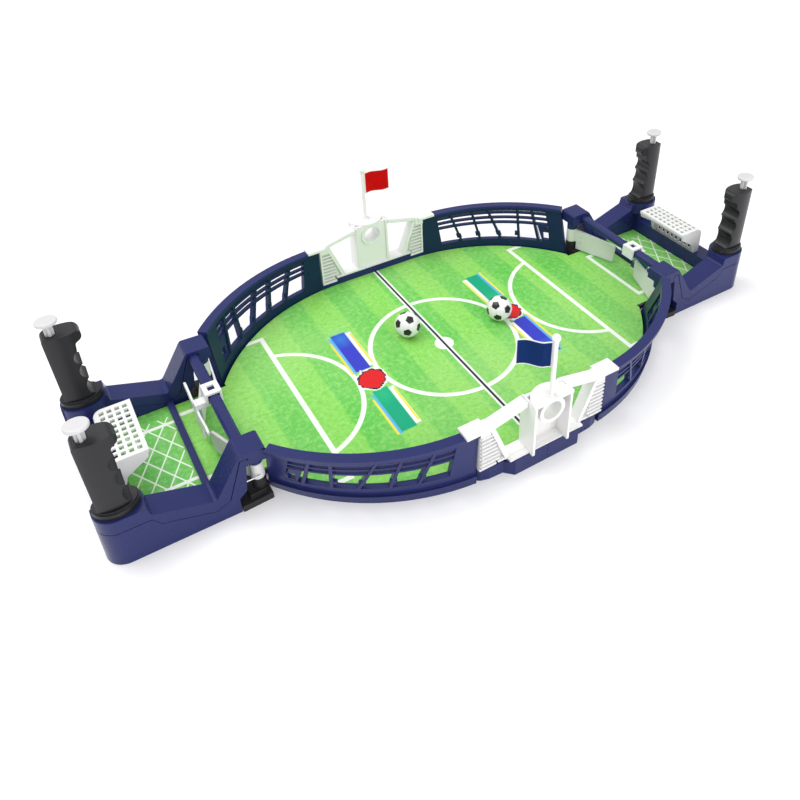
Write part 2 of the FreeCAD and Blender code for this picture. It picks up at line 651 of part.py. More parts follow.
# ---------------------------------------------------------------- corner pivots and flippers
def corner_block(sx, sy):
    """Black block between fence and housing, with the lower seat of the pivot."""
    node = "corner_block_" + quarter(sx, sy)
    plan = [(172.4, 58), (172.4, 66), (193.5, 67, 1), (193.5, 47), (173, 47, 2)]
    slab = pad(node + "_slab", "xy", mirrored(plan, sx, sy), "0", "5")
    upper = [(173.4, 53), (174.6, 63, 2), (187, 64), (187, 47.2), (175, 47.2, 2)]
    step = pad(node + "_step", "xy", mirrored(upper, sx, sy), "0", "pitch_top + 0.6")
    boss = rod(node + "_boss", "%d * pivot_x" % sx, "%d * pivot_y" % sy, "0", "hub_low - 0.3", "hub_rad + 0.3")
    hole = rod(node + "_pin_hole", "%d * pivot_x" % sx, "%d * pivot_y" % sy, "6", "20", "pin_rad + 0.02")
    keep(node, cut(node, fuse(node + "_solid", [slab, step, boss]), [hole]))


def flipper(sx, sy):
    """Paddle with its hub, made at the pivot and turned to its rest direction."""
    node = "flipper_" + quarter(sx, sy)
    low = size("paddle_low")
    long = size("paddle_long")
    blade = [(0, 30), (long, 27.2, 1), (long - 1.0, low + 0.4, 1), (6.2, low), (6.2, 17.0), (0, 17.0)]
    half = "paddle_thick / 2"
    plate = pad(node + "_plate", "xz", mirrored(blade, 1), "-" + half, half)
    hub = rod(node + "_hub", "0", "0", "hub_low", "hub_high", "hub_rad")
    pad_low = rod(node + "_bore", "0", "0", "hub_low - 1", "hub_high + 1", "pin_rad + run_gap")
    dots = [along_y("%s_dot%d" % (node, i), "10.5", str(z), "-3", "3", "0.55")
            for i, z in enumerate((17.5, 23.5))]
    item = cut(node, fuse(node + "_solid", [plate, hub]), [pad_low] + dots)
    angle = -size("paddle_swing")
    if sx < 0:
        angle = 180 - angle
    if sy < 0:
        angle = -angle
    item.Placement = Placement(Vector(sx * size("pivot_x"), sy * size("pivot_y"), 0),
                               Rotation(Vector(0, 0, 1), angle))
    keep(node, item)


def coil(radius, wire, turns, low, high):
    """Helical spring about the Z axis between two heights."""
    rise = (high - low - 2 * wire) / turns
    path = Part.makeHelix(rise, rise * turns, radius)
    path.translate(Vector(0, 0, low + wire))
    start = Part.Wire(Part.makeCircle(wire, Vector(radius, 0, low + wire), Vector(0, 1, 0)))
    return Part.Wire(path).makePipeShell([start], True, True)


def hardware():
    """Four steel pins and eight shell screws, each a group of like solids."""
    pins = []
    screws = []
    for sx, sy in QUARTERS:
        place = Vector(sx * size("pivot_x"), sy * size("pivot_y"), PIN_LOW)
        pins.append(Part.makeCylinder(size("pin_rad"), PIN_LONG, place))
        for x, head in SCREWS:
            place = Vector(sx * x, sy * screw_row(x), head)
            shank = Part.makeCylinder(size("shank_rad"), SCREW_LONG, place)
            screws.append(shank.fuse(Part.makeCylinder(size("head_rad"), 1.5, place)))
    feature("pivot_pins", Part.makeCompound(pins))
    feature("shell_screws", Part.makeCompound(screws))


def wire_path(sx, sy):
    """Route of one pull wire: beside the hub, down inside the post, along the arm, up to the button."""
    hub_side = wire_start_y()
    points = [Vector(177.5, hub_side, 21), Vector(193, hub_side, 21), Vector(207, 59, 6.6),
              Vector(243, 54.4, 6.6), Vector(size("stem_x"), size("socket_y"), 9.5)]
    moved = [Vector(sx * p.x, sy * p.y, p.z) for p in points]
    edges = []
    here = moved[0]
    for before, corner, after in zip(moved[:-2], moved[1:-1], moved[2:]):
        back, ahead = before - corner, after - corner
        reach = 0.4 * min(back.Length, ahead.Length)
        back.normalize()
        ahead.normalize()
        half = back.getAngle(ahead) / 2
        radius = reach * math.tan(half)
        middle = back + ahead
        middle.normalize()
        enter, leave = corner + back * reach, corner + ahead * reach
        edges.append(Part.LineSegment(here, enter).toShape())
        edges.append(Part.Arc(enter, corner + middle * (radius / math.sin(half) - radius), leave).toShape())
        here = leave
    edges.append(Part.LineSegment(here, moved[-1]).toShape())
    return Part.Wire(edges)


def wire_solid(sx, sy, radius):
    """Round tube along one pull wire's route."""
    ring = Part.Wire(Part.makeCircle(radius, Vector(sx * 177.5, sy * wire_start_y(), 21), Vector(1, 0, 0)))
    return wire_path(sx, sy).makePipeShell([ring], True, True)


def wire_start_y():
    """Distance of a pull wire from the centre line where it lies beside the hub."""
    return size("pivot_y") + size("hub_rad") + size("wire_rad") + 0.3


def wire_tool(name, sx, sy):
    """Clearance round one pull wire, cut out of the shells."""
    item = doc.addObject("Part::Feature", name)
    item.Shape = wire_solid(sx, sy, size("wire_rad") + 0.5)
    return item


def pull_wires():
    """Four wires that pull the flippers round when the buttons go down."""
    feature("pull_wires", Part.makeCompound([wire_solid(sx, sy, size("wire_rad")) for sx, sy in QUARTERS]))


# ---------------------------------------------------------------- grips and buttons
def grip(sx, sy):
    """Hand grip: straight back, three finger grooves and a hooked top towards the pitch."""
    node = "grip_" + quarter(sx, sy)
    back, nose = size("grip_back"), size("grip_nose")
    top = size("grip_top")
    low = size("collar_top") + 0.1
    points = [(back - 1.2, low), (back, top, 3), (nose, top, 4), (nose, top - 7.6, 2.8),
              (nose + 5.0, top - 8.6, 2), (nose + 5.6, 82.6), ("arc", nose + 9.2, 77.0), (nose + 4.8, 71.4),
              ("arc", nose + 8.4, 65.0), (nose + 3.9, 58.6), ("arc", nose + 7.0, 52.4), (nose + 3.0, low)]
    slab = pad(node + "_side", "xz", mirrored(points, sx), *side(sy, "socket_y - grip_half", "socket_y + grip_half"))
    column = oval(node + "_column", "%d * (grip_back + grip_nose + 0.6) / 2" % sx, "%d * socket_y" % sy,
                  "collar_top - 1", "grip_top + 1", "(grip_back - grip_nose) / 2 + 2.0", "grip_half")
    body = common(node + "_body", slab, column)
    bore = rod(node + "_bore", "%d * stem_x" % sx, "%d * socket_y" % sy, "collar_top - 2", "grip_top + 2",
               "stem_bore")
    chamber = rod(node + "_chamber", "%d * stem_x" % sx, "%d * socket_y" % sy, "collar_top - 2",
                  "grip_top - 14", "spring_bore")
    keep(node, cut(node, body, [bore, chamber]))


def collar(sx, sy):
    """Ring with a lip between the grip and its socket."""
    node = "collar_" + quarter(sx, sy)
    x, y = "%d * socket_x" % sx, "%d * socket_y" % sy
    lower = oval(node + "_ring", x, y, "socket_top", "collar_top - 1.4", "collar_long + 0.9", "collar_wide + 0.9")
    lip = oval(node + "_lip", x, y, "collar_top - 2", "collar_top", "collar_long", "collar_wide")
    well = rod(node + "_well", "%d * stem_x" % sx, y, "socket_top - 2", "collar_top + 2", "spring_bore")
    keep(node, cut(node, fuse(node + "_solid", [lower, lip]), [well]))


def button(sx, sy):
    """Push button: oval cap on a cross-ribbed stem with a spring flange and a foot."""
    node = "button_" + quarter(sx, sy)
    x, y = "%d * stem_x" % sx, "%d * socket_y" % sy
    cap = oval(node + "_cap", x, y, "cap_top - cap_thick", "cap_top", "cap_long", "cap_wide")
    cap_edge = doc.addObject("Part::Fillet", node + "_cap_edge")
    cap_edge.Base = cap
    doc.recompute()
    cap_edge.Edges = [(i + 1, 1.1, 1.1) for i, e in enumerate(cap.Shape.Edges) if e.BoundBox.ZLength < 0.01]
    parts = [cap_edge]
    tall = ("stem_low", "cap_top - cap_thick + 0.5")
    parts.append(box(node + "_web_x", ("%s - stem_half" % x, "%s + stem_half" % x),
                     ("%s - stem_web / 2" % y, "%s + stem_web / 2" % y), tall))
    parts.append(box(node + "_web_y", ("%s - stem_web / 2" % x, "%s + stem_web / 2" % x),
                     ("%s - stem_half" % y, "%s + stem_half" % y), tall))
    parts.append(rod(node + "_flange", x, y, "flange_z", "flange_z + 1.8", "spring_bore - 0.35"))
    keep(node, fuse(node, parts))


def button_spring(sx, sy):
    """Return spring under the button's flange."""
    node = "button_spring_" + quarter(sx, sy)
    shape = coil(3.95, 0.38, 9, size("socket_top") + 0.1, size("flange_z") - 0.1)
    turn = Rotation(Vector(0, 0, 1), 0 if sy > 0 else 180)
    feature(node, shape, Placement(Vector(sx * size("stem_x"), sy * size("socket_y"), 0), turn))


# ---------------------------------------------------------------- loose pieces
def keeper(sx, centre):
    """Goalkeeper board: square ring round the crossbar with a cut-out figure hung behind it."""
    node = "keeper_" + END[sx]
    gap = 0.25
    x0, x1 = "bar_x - bar_half - %s" % gap, "bar_x + bar_half + %s" % gap
    y0, y1 = "%s - 6.2" % centre, "%s + 6.2" % centre
    outer = box(node + "_ring", side(sx, x0 + " - 1.6", x1 + " + 1.6"), (y0, y1),
                ("bar_under - 1.9", "bar_top + 1.9"))
    inner = box(node + "_hole", side(sx, x0, x1), (y0 + " - 1", y1 + " + 1"),
                ("bar_under - %s" % gap, "bar_top + %s" % gap))
    window = box(node + "_window", side(sx, "bar_x - 2.4", "bar_x + 2.4"),
                 ("%s - 2.6" % centre, "%s + 2.6" % centre), ("bar_top - 1", "bar_top + 5"))
    span = size("keeper_span")
    half = [(3.4, 36.9), (3.4, 34.5), (9, 33.5), (span - 5, 36.6), (span, 35.6, 1.5), (span - 0.6, 31.8, 1.5),
            (10.5, 27.0, 2), (8.2, 21.5), (10.8, 13.2, 1), (5.4, 12.6, 1), (0.0, 20.5)]
    left = [(-p[0],) + tuple(p[1:]) for p in reversed(half[:-1])]
    figure = [(p[0] + centre,) + tuple(p[1:]) for p in half + left]
    plate = pad(node + "_figure", "yz", figure, *side(sx, "keeper_x", "keeper_x + keeper_thick"))
    arm = box(node + "_arm", side(sx, "bar_x + bar_half + 1", "keeper_x + keeper_thick"),
              ("%s - 3.4" % centre, "%s + 3.4" % centre), ("bar_under - 4.6", "bar_under"))
    keep(node, cut(node, fuse(node + "_solid", [outer, plate, arm]), [inner, window]))


def ball(index, x, y):
    """Small hollow football, drawn as a thick shell."""
    node = "ball_%d" % index
    outer = doc.addObject("Part::Sphere", node + "_outer")
    inner = doc.addObject("Part::Sphere", node + "_inner")
    for item, radius in ((outer, "ball_rad"), (inner, "ball_rad - 1.2")):
        bind(item, Radius=radius, Placement__Base__z="pitch_top + ball_rad + 0.05")
        item.Placement.Base.x = x
        item.Placement.Base.y = y
    keep(node, cut(node, outer, [inner]))


# ---------------------------------------------------------------- assembly
for sign in (-1, 1):
    pitch_board(sign)
    field_base(sign)
    stand(sign)
    flag_pole(sign)
    flag(sign)
    housing(sign)
    cross_bars(sign)
    goal_floor(sign)
    goal(sign)
fences()
for sx, sy in QUARTERS:
    corner_block(sx, sy)
    flipper(sx, sy)
    collar(sx, sy)
    grip(sx, sy)
    button(sx, sy)
    button_spring(sx, sy)
hardware()
pull_wires()
keeper(-1, 6.0)
keeper(1, -16.0)
ball(1, -19.6, 24.9)
ball(2, 56.1, 2.7)
doc.recompute()

# ---------------------------------------------------------------- check, then write
faults = [o.Label for o in doc.Objects if "Invalid" in o.State or "Error" in o.State]
if faults:
    raise RuntimeError("failed objects: %s" % ", ".join(faults))
for node, item in NODES.items():
    if item.Shape.isNull() or not item.Shape.isValid():
        raise RuntimeError("bad shape: " + node)
os.makedirs("parts", exist_ok=True)
for node, item in NODES.items():
    item.Shape.exportStep("parts/%s.step" % node)
    bounds = item.Shape.BoundBox
    print("%-26s solids %d  volume %9.1f  x %.1f..%.1f  y %.1f..%.1f  z %.1f..%.1f" % (
        node, len(item.Shape.Solids), item.Shape.Volume, bounds.XMin, bounds.XMax, bounds.YMin,
        bounds.YMax, bounds.ZMin, bounds.ZMax))
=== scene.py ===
"""Looks for the tabletop football game: materials, balls, button springs, floor, light and camera.

Everything is in metres. Objects of the CAD frame sit at the origin, so an object coordinate is also
a place on the game: x along the length, y across to the far side, z up.
"""
import bpy
import bmesh
import json
import math
from mathutils import Euler, Matrix, Vector


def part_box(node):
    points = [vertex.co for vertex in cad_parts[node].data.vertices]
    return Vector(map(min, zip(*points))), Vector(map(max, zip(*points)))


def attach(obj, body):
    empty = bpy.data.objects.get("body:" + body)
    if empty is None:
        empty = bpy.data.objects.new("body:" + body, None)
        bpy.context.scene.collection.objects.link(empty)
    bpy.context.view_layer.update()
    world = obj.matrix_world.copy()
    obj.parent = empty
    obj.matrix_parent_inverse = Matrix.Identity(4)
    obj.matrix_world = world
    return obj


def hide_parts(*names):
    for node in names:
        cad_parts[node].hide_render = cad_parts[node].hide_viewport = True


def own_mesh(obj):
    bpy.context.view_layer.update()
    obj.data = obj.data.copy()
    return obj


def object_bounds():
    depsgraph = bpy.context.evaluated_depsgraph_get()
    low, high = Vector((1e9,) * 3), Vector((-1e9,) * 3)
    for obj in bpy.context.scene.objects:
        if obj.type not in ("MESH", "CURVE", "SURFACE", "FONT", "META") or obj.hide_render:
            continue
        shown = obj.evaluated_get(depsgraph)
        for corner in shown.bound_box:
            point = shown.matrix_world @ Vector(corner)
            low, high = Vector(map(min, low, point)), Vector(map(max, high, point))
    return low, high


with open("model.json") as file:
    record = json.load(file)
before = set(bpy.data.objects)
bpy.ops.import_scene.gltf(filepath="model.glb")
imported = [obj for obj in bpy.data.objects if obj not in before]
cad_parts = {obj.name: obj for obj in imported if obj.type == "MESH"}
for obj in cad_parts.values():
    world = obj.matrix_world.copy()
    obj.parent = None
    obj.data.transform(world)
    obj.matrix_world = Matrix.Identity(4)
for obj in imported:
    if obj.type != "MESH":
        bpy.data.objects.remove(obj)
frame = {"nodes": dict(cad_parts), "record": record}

cad_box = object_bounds()
nodes = frame["nodes"]
ENDS = {"left": -1, "right": 1}
QUARTERS = [(end, row) for end in ENDS for row in ("far", "near")]
PRINT_EDGE = 0.00025            # half width of the step at the edge of a printed shape


# ---------------------------------------------------------------- node arithmetic
class Num:
    """One number of a material's node tree, with ordinary arithmetic."""

    def __init__(self, tree, socket):
        self.tree = tree
        self.socket = socket

    def _math(self, operation, *others):
        node = self.tree.nodes.new("ShaderNodeMath")
        node.operation = operation
        for slot, value in zip(node.inputs, (self,) + others):
            if isinstance(value, Num):
                self.tree.links.new(value.socket, slot)
            else:
                slot.default_value = value
        return Num(self.tree, node.outputs[0])

    def __add__(self, other):
        return self._math("ADD", other)

    def __sub__(self, other):
        return self._math("SUBTRACT", other)

    def __mul__(self, other):
        return self._math("MULTIPLY", other)

    def __neg__(self):
        return self._math("MULTIPLY", -1.0)

    def abs(self):
        return self._math("ABSOLUTE")

    def root(self):
        return self._math("SQRT")

    def wave(self):
        return self._math("SINE")

    def frac(self):
        return self._math("FRACT")

    def most(self, other):
        return self._math("MAXIMUM", other)

    def below(self, limit, soft=PRINT_EDGE):
        """1 where this is under the limit, 0 over it, with a soft step."""
        node = self.tree.nodes.new("ShaderNodeMapRange")
        self.tree.links.new(self.socket, node.inputs["Value"])
        node.inputs["From Min"].default_value = limit - soft
        node.inputs["From Max"].default_value = limit + soft
        node.inputs["To Min"].default_value = 1.0
        node.inputs["To Max"].default_value = 0.0
        return Num(self.tree, node.outputs["Result"])

    def above(self, limit, soft=PRINT_EDGE):
        """1 where this is over the limit, 0 under it, with a soft step."""
        return -self.below(limit, soft) + 1.0


class Look:
    """A Principled material under construction."""

    MIX_UNDER, MIX_OVER, MIX_RESULT = 6, 7, 2       # the colour sockets of a Mix node
    BUMP_STRENGTH = 0.80
    BEVEL_SAMPLES = 6

    def __init__(self, name, colour, rough, **fixed):
        """Extra keywords are inputs of the shader, with _ for the spaces of their names."""
        self.material = bpy.data.materials.new(name)
        self.material.use_nodes = True
        self.tree = self.material.node_tree
        self.shader = self.tree.nodes["Principled BSDF"]
        self.shader.inputs["Base Color"].default_value = tuple(colour) + (1.0,)
        self.shader.inputs["Roughness"].default_value = rough
        for key, value in fixed.items():
            self.shader.inputs[key.replace("_", " ")].default_value = value
        where = self.tree.nodes.new("ShaderNodeTexCoord")
        split = self.tree.nodes.new("ShaderNodeSeparateXYZ")
        self.place = where.outputs["Object"]
        self.tree.links.new(self.place, split.inputs[0])
        self.x, self.y, self.z = (Num(self.tree, socket) for socket in split.outputs)
        self.colour = None
        self.base = tuple(colour)

    def noise(self, scale, detail=3.0, rough=0.55, stretch=None):
        node = self.tree.nodes.new("ShaderNodeTexNoise")
        node.inputs["Scale"].default_value = scale
        node.inputs["Detail"].default_value = detail
        node.inputs["Roughness"].default_value = rough
        source = self.place
        if stretch:
            mapping = self.tree.nodes.new("ShaderNodeMapping")
            mapping.inputs["Scale"].default_value = stretch
            self.tree.links.new(source, mapping.inputs["Vector"])
            source = mapping.outputs[0]
        self.tree.links.new(source, node.inputs["Vector"])
        return Num(self.tree, node.outputs["Fac"])

    def paint(self, mask, colour):
        """Lays a colour over what is there, where the mask is 1."""
        mix = self.tree.nodes.new("ShaderNodeMix")
        mix.data_type = "RGBA"
        self.tree.links.new(mask.socket, mix.inputs["Factor"])
        if self.colour is None:
            mix.inputs[self.MIX_UNDER].default_value = self.base + (1.0,)
        else:
            self.tree.links.new(self.colour, mix.inputs[self.MIX_UNDER])
        mix.inputs[self.MIX_OVER].default_value = tuple(colour) + (1.0,)
        self.colour = mix.outputs[self.MIX_RESULT]
        self.tree.links.new(self.colour, self.shader.inputs["Base Color"])

    def roughness(self, number):
        self.tree.links.new(number.socket, self.shader.inputs["Roughness"])

    def bump(self, height, depth, edge=0.0):
        """Fine relief, and rounded edges of the given radius."""
        node = self.tree.nodes.new("ShaderNodeBump")
        node.inputs["Strength"].default_value = self.BUMP_STRENGTH
        node.inputs["Distance"].default_value = depth
        self.tree.links.new(height.socket, node.inputs["Height"])
        if edge:
            bevel = self.tree.nodes.new("ShaderNodeBevel")
            bevel.samples = self.BEVEL_SAMPLES
            bevel.inputs["Radius"].default_value = edge
            self.tree.links.new(bevel.outputs[0], node.inputs["Normal"])
        self.tree.links.new(node.outputs[0], self.shader.inputs["Normal"])


def distance(look, x, y):
    """Distance in plan from a point."""
    dx, dy = look.x - x, look.y - y
    return (dx * dx + dy * dy).root()


def band(number, middle, half):
    """1 within half of the middle value."""
    return (number - middle).abs().below(half)


# ---------------------------------------------------------------- plastics and steel
def plastic(name, colour, rough, grain=900.0, depth=0.00002, edge=0.0005, vary=0.12, **fixed):
    """Moulded plastic: slight mottling, uneven gloss, faint flow marks, fine grain and rounded edges."""
    look = Look(name, colour, rough, **fixed)
    mottling = look.noise(22.0, 4.0).above(0.5, 0.25)
    look.paint(mottling, tuple(channel * (1 - vary) for channel in colour))
    flow_marks = look.noise(160.0, 2.0, stretch=(1.0, 1.0, 0.2)).above(0.72, 0.05) * 0.25
    look.paint(flow_marks, tuple(min(1.0, channel * 1.35 + 0.01) for channel in colour))
    look.roughness(look.noise(60.0, 5.0) * 0.16 + (rough - 0.08))
    look.bump(look.noise(grain, 3.0), depth, edge)
    return look


def drawn_steel():
    """Bright wire, with streaks that run round it."""
    look = Look("steel", (0.62, 0.62, 0.63), 0.28, Metallic=1.0)
    look.paint(look.noise(300.0, 2.0, stretch=(1, 1, 12)).above(0.55, 0.2), (0.5, 0.5, 0.52))
    look.roughness(look.noise(500.0, 2.0) * 0.15 + 0.2)
    look.bump(look.noise(1500.0, 2.0), 0.00001)
    return look


def shade_fence_inside(look):
    """Painted shade: a deeper navy on the fence's face towards the pitch, a leaning arc in each quarter.
    """
    height = 0.048
    foot_x, foot_y, foot_radius = 0.036, -0.0334, 0.1562
    lean_x, lean_y, lean_radius = 0.014, 0.0034, 0.002
    rim_z = 0.0462
    share = look.z * (1 / height)
    dx = look.x.abs() - foot_x - share * lean_x
    dy = look.y.abs() - foot_y - share * lean_y
    reach = (dx * dx + dy * dy).root() + share * lean_radius
    # painted shade: the fence's inside face, below its rim, takes a darker navy
    look.paint(reach.below(foot_radius, 0.0004) * look.z.below(rim_z), NAVY_PAINTED_SHADE)


NAVY = (0.019, 0.026, 0.122)
# darker navy used as painted shade on the fence's inside face
NAVY_PAINTED_SHADE = (0.004, 0.019, 0.060)
NAVY_GLOSS = 0.24               # specular level of the navy plastic

navy = plastic("navy_plastic", NAVY, 0.26, Specular_IOR_Level=NAVY_GLOSS)
fence_navy = plastic("fence_plastic", NAVY, 0.30, Specular_IOR_Level=NAVY_GLOSS)
shade_fence_inside(fence_navy)
base_navy = plastic("base_plastic", NAVY, 0.30, Specular_IOR_Level=NAVY_GLOSS)
white = plastic("white_plastic", (0.84, 0.835, 0.83), 0.34, vary=0.04)
paddle = plastic("paddle_plastic", (0.74, 0.75, 0.73), 0.42, vary=0.05)
button_white = plastic("button_plastic", (0.62, 0.61, 0.62), 0.3, vary=0.03, Subsurface_Weight=0.15,
                       Subsurface_Radius=(0.004, 0.004, 0.004), Subsurface_Scale=1.0)
black = plastic("block_plastic", (0.020, 0.019, 0.020), 0.46, vary=0.2, Specular_IOR_Level=0.3)
grip_look = plastic("grip_plastic", (0.016, 0.0155, 0.019), 0.36, grain=2600.0, depth=0.00006, vary=0.25,
                    Specular_IOR_Level=0.34)
steel = drawn_steel()


# ---------------------------------------------------------------- printed boards
GRASS = (0.22, 0.62, 0.085)
GOAL_GRASS = (0.10, 0.50, 0.05)
DARK_STRIPE = (0.080, 0.49, 0.060)
PALE_PATCH = (0.40, 0.68, 0.22)
LIT_BLADES = (0.38, 0.76, 0.24)
SHADED_BLADES = (0.045, 0.34, 0.030)
CHALK = (0.86, 0.90, 0.83)
NET_CHALK = (0.80, 0.90, 0.76)
INK = (0.018, 0.018, 0.05)
BARE_BOARD = (0.42, 0.36, 0.26)
STRIPE_WIDTH = 0.0235


def grass(look):
    """Mown stripes across the pitch, with a fine leafy mottling."""
    bow = look.noise(5.0, 2.0) * 0.006
    stripe = ((look.x + bow) * (math.pi / STRIPE_WIDTH) + 0.6).wave()
    look.paint(stripe.above(0.0, 0.16) * 0.85, DARK_STRIPE)
    look.paint(look.noise(7.0, 3.0).above(0.52, 0.16) * 0.5, PALE_PATCH)
    look.paint(look.noise(260.0, 5.0, 0.7).above(0.54, 0.08) * 0.42, LIT_BLADES)
    look.paint(look.noise(260.0, 5.0, 0.7, (1.0, 1.3, 1.0)).below(0.42, 0.08) * 0.32, SHADED_BLADES)


def varnish(look):
    """Uneven gloss and the faint tooth of printed card."""
    look.roughness(look.noise(420.0, 3.0) * 0.2 + 0.26)
    look.bump(look.noise(700.0, 3.0), 0.00002)


def rectangle_line(look, line_x, half_y, width):
    """Line across the pitch at |x| = line_x and its two returns out to the end."""
    ax, ay = look.x.abs(), look.y.abs()
    across = band(ax, line_x, width / 2) * ay.below(half_y + width / 2)
    along = band(ay, half_y, width / 2) * ax.above(line_x)
    return across.most(along)


def slanted(look, start, end, half, fade=0.0004):
    """Band of the given half width along a straight line, and the same turned round in the right half."""
    dx, dy = end[0] - start[0], end[1] - start[1]
    length = math.hypot(dx, dy)
    ux, uy = dx / length, dy / length
    masks = []
    for turn in (1.0, -1.0):
        rx, ry = look.x - start[0] * turn, look.y - start[1] * turn
        along = rx * (ux * turn) + ry * (uy * turn)
        off = (rx * (-uy * turn) + ry * (ux * turn)).abs()
        masks.append(along.above(0.0, fade) * along.below(length, fade) * off.below(half, fade))
    return masks[0].most(masks[1])


# Blank banners across the pitch. The y of the top and the foot, the field, its strips, its lit upper end.
BANNERS = (
    (0.0565, 0.0060, (0.030, 0.040, 0.50), (0.80, 0.66, 0.03), (0.02, 0.30, 0.75)),
    (-0.0195, -0.0670, (0.0, 0.36, 0.19), (0.80, 0.72, 0.05), (0.02, 0.55, 0.20)),
)
# Strips beside the field: x at the top and at the foot, how far each stops short, the half width, the
# colour or None for the banner's own.
BANNER_STRIPS = (
    (-0.0610, -0.0615, 0.002, 0.002, 0.0024, (0.88, 0.90, 0.92)),
    (-0.0595, -0.0602, 0.004, 0.004, 0.0009, None),
    (-0.0785, -0.0790, 0.008, -0.001, 0.0013, None),
    (-0.0768, -0.0772, 0.003, -0.001, 0.0012, (0.10, 0.42, 0.80)),
)
BANNER_X, BANNER_FOOT_X, BANNER_HALF = -0.0695, -0.0700, 0.0062
LIT_LENGTH, LIT_FOOT_X, LIT_FADE = 0.014, -0.0697, 0.006

# Round splash between the banners: its middle, and the radius and colour of its rim, edge and body.
SPLASH_X, SPLASH_Y = -0.0690, -0.0067
SPLASH_LAYERS = (
    (0.0124, (0.88, 0.88, 0.86)),
    (0.0112, (0.020, 0.010, 0.012)),
    (0.0100, (0.66, 0.006, 0.010)),
)
SPLASH_RAGGEDNESS = 0.008
SPLASH_SOFT = 0.0003


def paint_banners(look):
    for top, foot, field, strip, lit in BANNERS:
        for top_x, foot_x, top_gap, foot_gap, half, colour in BANNER_STRIPS:
            mask = slanted(look, (top_x, top - top_gap), (foot_x, foot + foot_gap), half)
            look.paint(mask, colour or strip)
        look.paint(slanted(look, (BANNER_X, top), (BANNER_FOOT_X, foot), BANNER_HALF), field)
        upper = slanted(look, (BANNER_X, top), (LIT_FOOT_X, top - LIT_LENGTH), BANNER_HALF, LIT_FADE)
        look.paint(upper * 0.5, lit)


def paint_splash(look):
    """A plain disc with a torn edge, once in each half of the pitch."""
    ragged = (look.noise(190.0, 3.0) - 0.5) * SPLASH_RAGGEDNESS
    left = distance(look, SPLASH_X, SPLASH_Y) + ragged
    right = distance(look, -SPLASH_X, -SPLASH_Y) + ragged
    for radius, colour in SPLASH_LAYERS:
        look.paint(left.below(radius, SPLASH_SOFT).most(right.below(radius, SPLASH_SOFT)), colour)


def pitch_look():
    """Grass with every printed line, the blank banners and the splash between them."""
    look = Look("pitch_print", GRASS, 0.36, Specular_IOR_Level=0.3)
    grass(look)
    ax = look.x.abs()
    box_x = 0.1247
    to_arc = ax - 0.1414
    arc = (to_arc * to_arc + look.y * look.y).root()
    centre_circle = band(distance(look, 0, 0), 0.060, 0.0019)
    centre_spot = distance(look, 0, 0).below(0.0078)
    large_box = rectangle_line(look, box_x, 0.0842, 0.0038)
    small_box = rectangle_line(look, 0.1809, 0.0342, 0.0036)
    halfway = ax.below(0.0026)
    box_arc = band(arc, 0.0614, 0.0018) * ax.below(box_x)
    for mask in (centre_circle, centre_spot, large_box, small_box, halfway, box_arc):
        look.paint(mask, CHALK)
    look.paint(ax.below(0.0010), INK)
    paint_banners(look)
    paint_splash(look)
    look.paint(look.z.below(0.0072, 0.0001), BARE_BOARD)
    varnish(look)
    return look


def goal_floor_look():
    """Grass of the goal with a border line and a diamond net."""
    look = Look("goal_floor_print", GOAL_GRASS, 0.36)
    grass(look)
    ax, ay = look.x.abs(), look.y.abs()
    look.paint(band(ay, 0.0300, 0.0014) * ax.below(0.2330), CHALK)
    cell_size, slope = 0.0128, 0.62
    net = None
    for side in (slope, -slope):
        cell = ((look.x + look.y * side) * (1.0 / cell_size)).frac()
        line = (cell - 0.5).abs().below(0.048, 0.012)
        net = line if net is None else net.most(line)
    look.paint(net * ax.above(0.2120) * ay.below(0.0370), NET_CHALK)
    varnish(look)
    return look


# ---------------------------------------------------------------- flags and keepers
def flag_look(name, row, colour):
    """Printed flag: a plain field with a thin white border."""
    low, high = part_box("flag_" + row)
    look = Look(name, (0.82, 0.82, 0.81), 0.5, Specular_IOR_Level=0.08)
    mid_x, mid_z = (low[0] + high[0]) / 2, (low[2] + high[2]) / 2
    rim = 0.0007
    inside = (look.x - mid_x).abs().below((high[0] - low[0]) / 2 - rim)
    inside = inside * (look.z - mid_z).abs().below((high[2] - low[2]) / 2 - rim)
    look.paint(inside, colour)
    faded = look.noise(60.0, 4.0).above(0.55, 0.15) * 0.35
    look.paint(inside * faded, tuple(channel * 0.72 for channel in colour))
    look.roughness(look.noise(500.0, 2.0) * 0.2 + 0.38)
    look.bump(look.noise(1400.0, 2.0), 0.00003, 0.0003)
    return look


def keeper_look(end, side):
    """Plain goalkeeper print on the side facing the pitch; white behind and round the ring."""
    low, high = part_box("keeper_" + end)
    look = Look("keeper_print_" + end, (0.80, 0.80, 0.80), 0.34)
    depth = look.x * float(side)
    face = depth.above(0.1961, 0.00005) * depth.below(0.19635, 0.00005)
    across = (look.y - (low[1] + high[1]) / 2).abs()
    waist_z, hem_z, half_width, sleeve_y = 0.0215, 0.0150, 0.0265, 0.0215
    body = across.below(half_width) * look.z.below(0.0345)
    look.paint(face * body * look.z.above(waist_z), (0.02, 0.28, 0.33))
    look.paint(face * body * look.z.below(waist_z), (0.03, 0.03, 0.10))
    look.paint(face * body * look.z.below(hem_z), (0.75, 0.74, 0.72))
    look.paint(face * across.above(sleeve_y) * body, (0.62, 0.30, 0.05))
    look.paint(face * across.below(0.0032) * look.z.above(0.0300), (0.55, 0.33, 0.22))
    look.roughness(look.noise(60.0, 5.0) * 0.14 + 0.26)
    look.bump(look.noise(900.0, 3.0), 0.00002, 0.0004)
    return look


